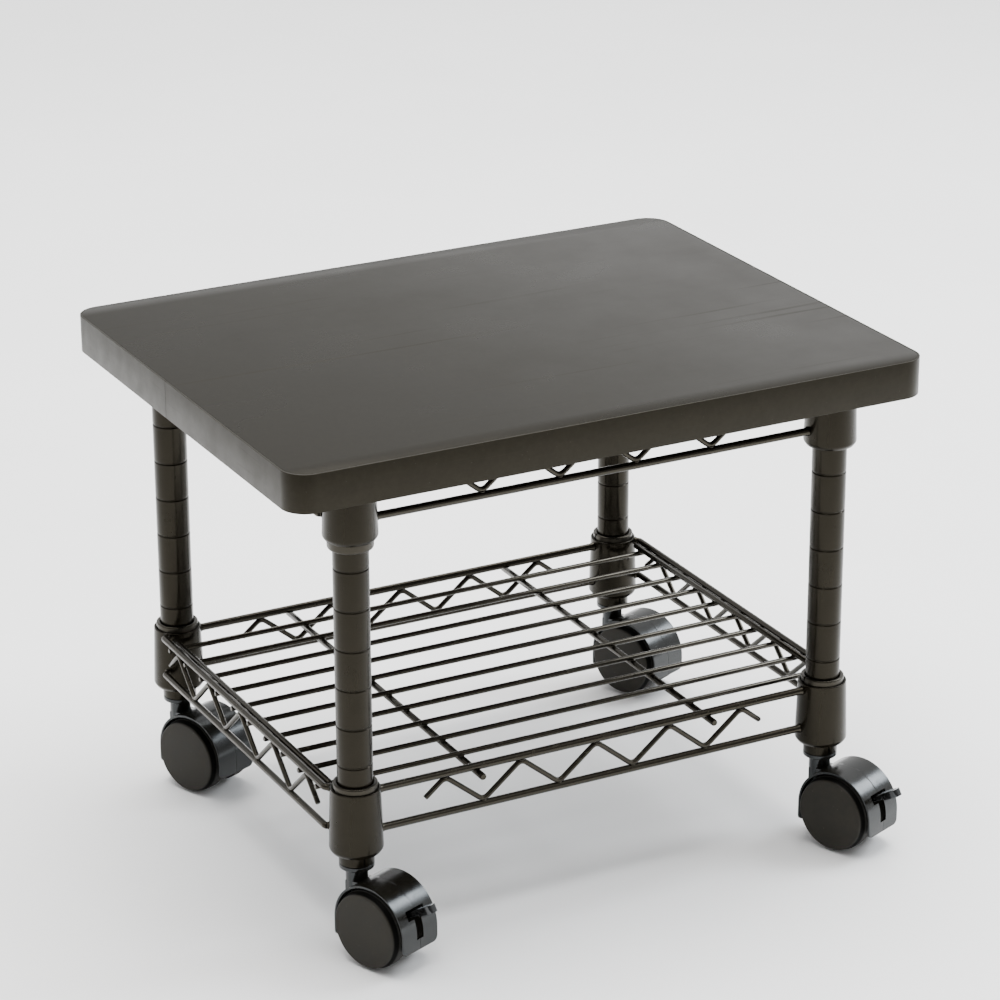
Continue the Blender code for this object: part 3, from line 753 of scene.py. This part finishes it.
def build_sleeves(finishes):
    """Split tapered sleeves with rounded rims."""
    profile = [
        (SLEEVE_R_TOP, SLEEVE_HALF),
        (SLEEVE_R_BOTTOM, 0.0012 - SLEEVE_HALF),
        (SLEEVE_R_BOTTOM - 0.0008, -SLEEVE_HALF),
        (SLEEVE_BORE, -SLEEVE_HALF),
        (SLEEVE_BORE, SLEEVE_HALF),
    ]
    for level in ("lower", "upper"):
        for name, x, y in corners():
            sleeve = turned(f"{level}_wedge_{name}", profile, corner=0.0010)
            inward = -1.0 if x > 0 else 1.0
            split = block(
                "split_tool",
                (min(0.0, inward * 0.02), -SLEEVE_SPLIT / 2, -0.02),
                (max(0.0, inward * 0.02), SLEEVE_SPLIT / 2, 0.02),
            )
            combined(sleeve, split, "DIFFERENCE")
            sleeve.location = (x, y, sleeve_height(level, name))
            dress(sleeve, "sleeve_plastic", "stand", [f"{level}_sleeve_{name}"], finishes)


def zigzag(pitch, low, high, rail_r, stub):
    """The snake wire's corner points, and the points where it is welded to the rails."""
    top = high - rail_r - SNAKE_R + WELD
    bottom = low + rail_r + SNAKE_R - WELD
    slope = (top - bottom) / (pitch / 2)
    overshoot = SNAKE_BEND_R * 0.25 * slope
    points = [(-2 * pitch - stub, top - stub * slope)]
    welds = []
    for number in range(-4, 5):
        u = number * pitch / 2
        up = number % 2 == 0
        points.append((u, top + overshoot if up else bottom - overshoot))
        welds.append((u, high - rail_r if up else low + rail_r))
    points.append((2 * pitch + stub, top - stub * slope))
    return points, welds


def build_truss(name, rails, rail_r, snake, welds, where, turn, finishes):
    """Rails, zigzag wire and weld spots as one piece."""
    pieces = [drawn_wire(f"rail_{i}", path, rail_r, 0.004, 1.25) for i, path in enumerate(rails)]
    pieces.append(drawn_wire("snake", [(u, 0.0, z) for u, z in snake], SNAKE_R, SNAKE_BEND_R, 0.8))
    pieces += [nugget("weld", (u, 0.0, z)) for u, z in welds]
    whole = joined(pieces[0], pieces[1:])
    whole.name = name.replace("truss", "ladder")
    whole.location = where
    whole.rotation_euler = (0.0, 0.0, turn)
    dress(whole, "wire_coat", "stand", [name], finishes)


def side_rail(height):
    """A side rail whose two ends bend in to meet the collars."""
    gap = collar_radius(height - SIDE_RAIL_R) + COLLAR_CLEAR * 0.4
    straight = POST_Y - SIDE_STRAIGHT
    reach = math.hypot(SIDE_OFFSET, SIDE_STRAIGHT)
    end_x = SIDE_OFFSET * (1.0 - gap / reach)
    end_y = POST_Y - SIDE_STRAIGHT * gap / reach
    points = [(-end_y, end_x), (-straight, 0.0), (straight, 0.0), (end_y, end_x)]
    return [(u, v, height) for u, v in points]


def end_rail(height):
    """A straight front or back rail between two collars."""
    reach = POST_X - collar_radius(height - END_RAIL_R) - COLLAR_CLEAR * 0.4
    return [(-reach, 0.0, height), (reach, 0.0, height)]


def build_trusses(finishes):
    """The welded wire frames round the shelf and under the top."""
    end_path = zigzag(END_PITCH, END_RAIL_BOTTOM, END_RAIL_TOP, END_RAIL_R, END_STUB)
    side_path = zigzag(SIDE_PITCH, SIDE_RAIL_BOTTOM, SIDE_RAIL_TOP, SIDE_RAIL_R, SIDE_STUB)
    end_rails = [end_rail(END_RAIL_TOP), end_rail(END_RAIL_BOTTOM)]
    side_rails = [side_rail(SIDE_RAIL_TOP), side_rail(SIDE_RAIL_BOTTOM)]
    for level, lift in (("lower", 0.0), ("upper", FRAME_STEP)):
        for name, side, turn in (("front", -1, 0.0), ("back", 1, math.pi)):
            where = (0.0, GRID_Y + side * POST_Y, lift)
            full = f"{level}_truss_{name}"
            build_truss(full, end_rails, END_RAIL_R, *end_path, where, turn, finishes)
        for name, side, turn in (("left", -1, -math.pi / 2), ("right", 1, math.pi / 2)):
            where = (side * (POST_X + SIDE_OFFSET), GRID_Y, lift)
            full = f"{level}_truss_{name}"
            build_truss(full, side_rails, SIDE_RAIL_R, *side_path, where, turn, finishes)


def build_grille(finishes):
    """The shelf's deck of welded wires."""
    pieces = []
    rows = [(number - (DECK_WIRES - 1) / 2) * DECK_PITCH for number in range(DECK_WIRES)]
    for y in rows:
        ends = [(-DECK_HALF, y, DECK_Z), (DECK_HALF, y, DECK_Z)]
        pieces.append(drawn_wire("cross", ends, DECK_R, flare=0.8))
    for side in (-1, 1):
        x = side * SUPPORT_X
        ends = [(x, -SUPPORT_HALF, SUPPORT_Z), (x, SUPPORT_HALF, SUPPORT_Z)]
        pieces.append(drawn_wire("support", ends, SUPPORT_R, flare=0.8))
        pieces += [nugget("weld", (x, y, SUPPORT_Z + SUPPORT_R)) for y in rows]
        x = side * INNER_X
        ends = [(x, -INNER_HALF, INNER_Z), (x, INNER_HALF, INNER_Z)]
        pieces.append(drawn_wire("inner", ends, INNER_R, flare=0.8))
        pieces += [nugget("weld", (x, y, INNER_Z - INNER_R)) for y in rows]
    whole = joined(pieces[0], pieces[1:])
    whole.name = "shelf_deck"
    whole.location = (0.0, GRID_Y, 0.0)
    dress(whole, "wire_coat", "stand", ["shelf_grille"], finishes)


def build_feet(finishes):
    """The plastic socket in each post's foot, and the steel pin each caster swivels on."""
    socket = [
        (PLUG_R - 0.0006, PLUG_TOP),
        (PLUG_R, PLUG_TOP - 0.0010),
        (PLUG_R, FLANGE_TOP),
        (FLANGE_R, FLANGE_TOP),
        (FLANGE_R, FLANGE_TOP - 0.0026),
        (FLANGE_R - 0.0008, FLANGE_BOTTOM + 0.0008),
        (FLANGE_R - 0.0024, FLANGE_BOTTOM),
        (PLUG_BORE, FLANGE_BOTTOM),
        (PLUG_BORE, PLUG_TOP),
    ]
    pin = [
        (0.0, STEM_TOP),
        (STEM_R - 0.0010, STEM_TOP),
        (STEM_R, STEM_TOP - 0.0010),
        (STEM_R, STEM_BOTTOM + 0.0010),
        (STEM_R - 0.0010, STEM_BOTTOM),
        (0.0, STEM_BOTTOM),
    ]
    for name, x, y in corners():
        foot = turned("foot_socket_" + name, socket)
        foot.location = (x, y, 0.0)
        dress(foot, "caster_plastic", "stand", ["post_insert_" + name], finishes)
        stem = turned("swivel_pin_" + name, pin, closed=False)
        stem.location = (x, y, 0.0)
        dress(stem, "plated_steel", "stand", ["caster_stem_" + name], finishes)


# ---- casters -------------------------------------------------------------------------------
def hood_outline(radius, inner_radius):
    """Side outline of the hood's shell (x, z): over the outside, and back under the inside."""
    over = [(TRAIL + radius, WHEEL_R - HOOD_TAIL)]
    under = [(TRAIL + inner_radius, WHEEL_R - HOOD_TAIL)]
    for step in range(HOOD_STEPS + 1):
        angle = math.pi * step / HOOD_STEPS
        along, up = math.cos(angle), math.sin(angle)
        over.append((TRAIL + radius * along, WHEEL_R + radius * up))
        under.append((TRAIL + inner_radius * along, WHEEL_R + inner_radius * up))
    over.append((TRAIL - radius, WHEEL_R - HOOD_LEAD))
    under.append((TRAIL - inner_radius, WHEEL_R - HOOD_LEAD))
    return over + under[::-1]


def round_hood_corners(shell):
    """Clear the square lower corners of the hood's skirts, so that they end in a curve."""
    for x, low in ((TRAIL + HOOD_R, WHEEL_R - HOOD_TAIL), (TRAIL - HOOD_R, WHEEL_R - HOOD_LEAD)):
        for side in (-1, 1):
            for vert in shell.data.vertices:
                inwards = HOOD_HALF - side * vert.co.y
                if abs(vert.co.x - x) > 0.004 or inwards > HOOD_CORNER or vert.co.z > low + 0.0015:
                    continue
                lift = HOOD_CORNER - math.sqrt(max(0.0, HOOD_CORNER ** 2 - (HOOD_CORNER - inwards) ** 2))
                vert.co.z += lift


def hood_half(side):
    """One half of the hood, cut into strips across so that its skirt's corner can be rounded."""
    low, high = sorted((side * PARTING, side * HOOD_HALF))
    shell = across("half", hood_outline(HOOD_R, HOOD_INNER), (high - low) / 2)
    shell.data.transform(Matrix.Translation((0.0, (low + high) / 2, 0.0)))
    bm = bmesh.new()
    bm.from_mesh(shell.data)
    cuts = [HOOD_HALF - inset for inset in (0.0, 0.0005, 0.0011, 0.0018, 0.0026, HOOD_CORNER)]
    cuts.append(PARTING + PARTING_EDGE)
    for cut in cuts:
        place = (0.0, side * cut, 0.0)
        whole = bm.verts[:] + bm.edges[:] + bm.faces[:]
        bmesh.ops.bisect_plane(bm, geom=whole, plane_co=place, plane_no=(0.0, 1.0, 0.0))
    bm.to_mesh(shell.data)
    bm.free()
    round_hood_corners(shell)
    return rounded_edges(shell, 0.00055, 3)


def web_outline():
    """Side outline of the solid web between the wheels (x, z)."""
    return [
        (TRAIL + 0.0060, WHEEL_R - 0.0060),
        (TRAIL + 0.0060, WHEEL_R + HOOD_INNER * 0.97),
        (-NECK_R * 0.6, WHEEL_R + 0.0210),
        (-NECK_R * 0.6, NECK_BOTTOM),
        (TRAIL - 0.0060, WHEEL_R - 0.0100),
    ]


def lever_sweep():
    """The space the lever's arm sweeps through (x, z)."""
    half = LEVER_THICK / 2 + LEVER_CLEAR
    high = LEVER_ANGLE
    low = LEVER_ANGLE - LEVER_TRAVEL
    edge = math.atan2(half, SWEEP_R)
    points = [(TRAIL + half * math.sin(low), WHEEL_R - half * math.cos(low))]
    for step in range(7):
        angle = low - edge + (high - low + 2 * edge) * step / 6
        points.append((TRAIL + SWEEP_R * math.cos(angle), WHEEL_R + SWEEP_R * math.sin(angle)))
    points.append((TRAIL - half * math.sin(high), WHEEL_R + half * math.cos(high)))
    return points


def build_body(name, spot, braked, finishes):
    """The caster's hood, web and neck."""
    hood = joined(hood_half(1), [hood_half(-1)])
    web = rounded_edges(across("web", web_outline(), WEB_HALF), 0.0006, 2)
    neck = turned(
        "neck",
        [
            (0.0, NECK_TOP),
            (NECK_R, NECK_TOP),
            (NECK_R, NECK_BOTTOM),
            (0.0, NECK_BOTTOM),
        ],
        closed=False,
    )
    if braked:
        slot = across("slot_tool", lever_sweep(), LEVER_SLOT_HALF)
        combined(hood, slot, "DIFFERENCE")
        cross = block(
            "cross_tool",
            (HOOD_INNER - 0.004, -LEVER_CROSS_HALF, -LEVER_CROSS_HEIGHT / 2),
            (HOOD_R + 0.004, LEVER_CROSS_HALF, LEVER_CROSS_HEIGHT / 2),
        )
        tilt = Matrix.Translation((TRAIL, 0.0, WHEEL_R)) @ Matrix.Rotation(-LEVER_ANGLE, 4, "Y")
        cross.data.transform(tilt)
        combined(hood, cross, "DIFFERENCE")
        arm_room = across("arm_tool", lever_sweep(), LEVER_SLOT_HALF)
        combined(web, arm_room, "DIFFERENCE")
    body = joined(hood, [web, neck])
    body.name = "hood_" + name
    body.matrix_world = spot
    dress(body, "caster_plastic", "caster_" + name, ["caster_body_" + name], finishes)


def wheel_profile():
    """Half section of a wheel: a shallow dome, a rolled shoulder, the tread and a hollow back."""
    return [
        (0.0, WHEEL_OUT),
        (0.0120, WHEEL_OUT - 0.0002),
        (FACE_R - 0.0006, WHEEL_OUT - 0.0006),
        (FACE_R, WHEEL_OUT - 0.0010),
        (WHEEL_R - 0.0008, WHEEL_OUT - 0.0034),
        (WHEEL_R, WHEEL_OUT - 0.0058),
        (WHEEL_R, WHEEL_IN + 0.0010),
        (WHEEL_R - 0.0010, WHEEL_IN),
        (WHEEL_R - 0.0042, WHEEL_IN),
        (WHEEL_R - 0.0048, WHEEL_IN + 0.0025),
        (0.0075, WHEEL_IN + 0.0025),
        (0.0068, WHEEL_IN),
        (WHEEL_BORE, WHEEL_IN),
        (WHEEL_BORE, AXLE_HALF + GAP),
        (0.0, AXLE_HALF + GAP),
    ]


def tip_outline():
    """Plan of the lever's wide, rounded tip (along, across)."""
    outline = [(LEVER_TIP_START, -LEVER_HALF), (LEVER_TIP_START + 0.0020, -LEVER_TIP_HALF)]
    for side in (-1, 1):
        for step in range(9):
            angle = math.radians(90.0 * step / 8 - (90.0 if side < 0 else 0.0))
            along = LEVER_REACH - LEVER_TIP_ROUND + LEVER_TIP_ROUND * math.cos(angle)
            sideways = side * (LEVER_TIP_HALF - LEVER_TIP_ROUND) + LEVER_TIP_ROUND * math.sin(angle)
            outline.append((along, sideways))
    outline += [(LEVER_TIP_START + 0.0020, LEVER_TIP_HALF), (LEVER_TIP_START, LEVER_HALF)]
    return outline


def build_lever(name, spot, finishes):
    """The brake lever: hub, flat arm, and a thick rounded tip with grip ribs."""
    hub = turned(
        "hub",
        [
            (LEVER_HUB_R, LEVER_HALF),
            (LEVER_HUB_R, -LEVER_HALF),
            (AXLE_R + GAP, -LEVER_HALF),
            (AXLE_R + GAP, LEVER_HALF),
        ],
    )
    hub.data.transform(Matrix.Rotation(math.pi / 2, 4, "X"))
    half = LEVER_HALF - ARM_SHY
    arm_end = LEVER_TIP_START + ARM_LAP
    arm_outline = [(ARM_START, -half), (arm_end, -half), (arm_end, half), (ARM_START, half)]
    arm = rounded_edges(plate("arm", [arm_outline], LEVER_THICK / 2), 0.0005, 2)
    tip = rounded_edges(plate("tip", [tip_outline()], LEVER_TIP_THICK / 2), 0.0011, 4)
    ribs = []
    for number in range(3):
        along = LEVER_REACH - 0.0030 - number * 0.0018
        reach = LEVER_TIP_HALF - 0.0014
        ends = [(along, -reach, LEVER_TIP_THICK / 2), (along, reach, LEVER_TIP_THICK / 2)]
        ribs.append(drawn_wire("rib", ends, 0.0003, flare=0.6))
    lever = joined(hub, [arm, tip, *ribs])
    lever.name = "pedal_" + name
    tilt = Matrix.Translation((TRAIL, 0.0, WHEEL_R)) @ Matrix.Rotation(-LEVER_ANGLE, 4, "Y")
    lever.matrix_world = spot @ tilt
    dress(lever, "lever_plastic", "brake_" + name, ["brake_lever_" + name], finishes)


def build_casters(finishes):
    """Every caster: body, axle, two wheels, and the lever on the front pair."""
    for name, x, y in corners():
        spot = Matrix.Translation((x, y, 0.0)) @ Matrix.Rotation(CASTER_YAW, 4, "Z")
        braked = name.startswith("front")
        build_body(name, spot, braked, finishes)
        sideways = spot @ Matrix.Translation((TRAIL, 0.0, WHEEL_R)) @ Matrix.Rotation(-math.pi / 2, 4, "X")
        ends = [(0.0, AXLE_HALF), (AXLE_R, AXLE_HALF), (AXLE_R, -AXLE_HALF), (0.0, -AXLE_HALF)]
        axle = turned("spindle_" + name, ends, closed=False)
        axle.matrix_world = sideways
        dress(axle, "plated_steel", "caster_" + name, ["caster_axle_" + name], finishes)
        for tag, flip in (("near", math.pi), ("far", 0.0)):
            wheel = turned(f"{tag}_roller_{name}", wheel_profile(), closed=False, corner=0.0008)
            wheel.matrix_world = sideways @ Matrix.Rotation(flip, 4, "X")
            full = f"{tag}_{name}"
            dress(wheel, "wheel_plastic", "wheel_" + full, ["caster_wheel_" + full], finishes)
        if braked:
            build_lever(name, spot, finishes)


# ---- studio ----------------------------------------------------------------------------------
def floor_finish():
    """Matt pale floor with a slight unevenness."""
    made, tree, shader, where = new_material("pale_floor")
    cloud = noise(tree, where, 3.0, 4.0)
    colour = ramp(tree, cloud, [(0.3, (0.90, 0.90, 0.90)), (0.7, (0.94, 0.94, 0.94))])
    tree.links.new(colour, shader.inputs["Base Color"])
    shader.inputs["Roughness"].default_value = 0.7
    return made


def build_floor():
    """A wide plain floor."""
    bm = bmesh.new()
    bmesh.ops.create_grid(bm, x_segments=1, y_segments=1, size=9.0)
    floor = mesh_object("floor", bm)
    floor.location = (0.0, 4.0, -0.0005)
    floor.data.materials.append(floor_finish())


def add_area(name, place, target, size, watts, colour):
    """A soft rectangular lamp aimed at a point."""
    data = bpy.data.lights.new(name, "AREA")
    data.shape = "RECTANGLE"
    data.size, data.size_y = size
    data.energy = watts
    data.color = colour
    lamp = bpy.data.objects.new(name, data)
    bpy.context.scene.collection.objects.link(lamp)
    lamp.location = place
    aim = Vector(target) - Vector(place)
    lamp.rotation_euler = aim.to_track_quat("-Z", "Y").to_euler()


def build_studio():
    """A white room, darker behind the camera, with an overhead lamp and soft boxes left and right."""
    world = bpy.data.worlds.new("white_room")
    bpy.context.scene.world = world
    world.use_nodes = True
    tree = world.node_tree
    towards = tree.nodes.new("ShaderNodeVectorMath")
    towards.operation = "DOT_PRODUCT"
    towards.inputs[1].default_value = (math.sin(CAMERA_AZIMUTH), -math.cos(CAMERA_AZIMUTH), -0.25)
    tree.links.new(tree.nodes.new("ShaderNodeTexCoord").outputs["Generated"], towards.inputs[0])
    level = remap(tree, towards.outputs["Value"], -0.35, 0.75, ROOM_BACK, ROOM_FRONT)
    tree.links.new(level, tree.nodes["Background"].inputs["Strength"])
    tree.nodes["Background"].inputs["Color"].default_value = (1.0, 1.0, 1.0, 1.0)
    add_area("overhead", (0.2, 0.5, 3.0), (0.0, 0.2, 0.0), (2.6, 2.6), 215.0, (1.0, 0.995, 0.98))
    add_area("front_left", (-0.7, -0.9, 2.4), (0.0, 0.0, 0.15), (0.25, 0.8), 9.0, (1.0, 1.0, 1.0))
    add_area("right_box", (2.3, -0.3, 1.9), (0.0, 0.0, 0.15), (1.0, 1.2), 70.0, (0.90, 0.95, 1.0))


def build_camera():
    """The camera where the reference view was taken from."""
    azimuth, elevation = CAMERA_AZIMUTH, CAMERA_ELEVATION
    level = math.cos(elevation)
    back = Vector((math.sin(azimuth) * level, -math.cos(azimuth) * level, math.sin(elevation)))
    right = Vector((0.0, 0.0, 1.0)).cross(back).normalized()
    up = back.cross(right)
    tilted = right * math.cos(CAMERA_ROLL) + up * math.sin(CAMERA_ROLL)
    raised = back.cross(tilted)
    data = bpy.data.cameras.new("view")
    data.lens = CAMERA_LENS
    data.sensor_width = 36.0
    data.clip_end = 50.0
    camera = bpy.data.objects.new("view", data)
    bpy.context.scene.collection.objects.link(camera)
    axes = Matrix((tilted, raised, back)).transposed().to_4x4()
    camera.matrix_world = Matrix.Translation(CAMERA_PLACE) @ axes
    bpy.context.scene.camera = camera


def main():
    """Build every piece, the room and the camera."""
    finishes = make_materials()
    build_top(finishes)
    build_posts(finishes)
    build_collars(finishes)
    build_sleeves(finishes)
    build_trusses(finishes)
    build_grille(finishes)
    build_feet(finishes)
    build_casters(finishes)
    build_floor()
    build_studio()
    build_camera()
    bpy.context.view_layer.update()


main()
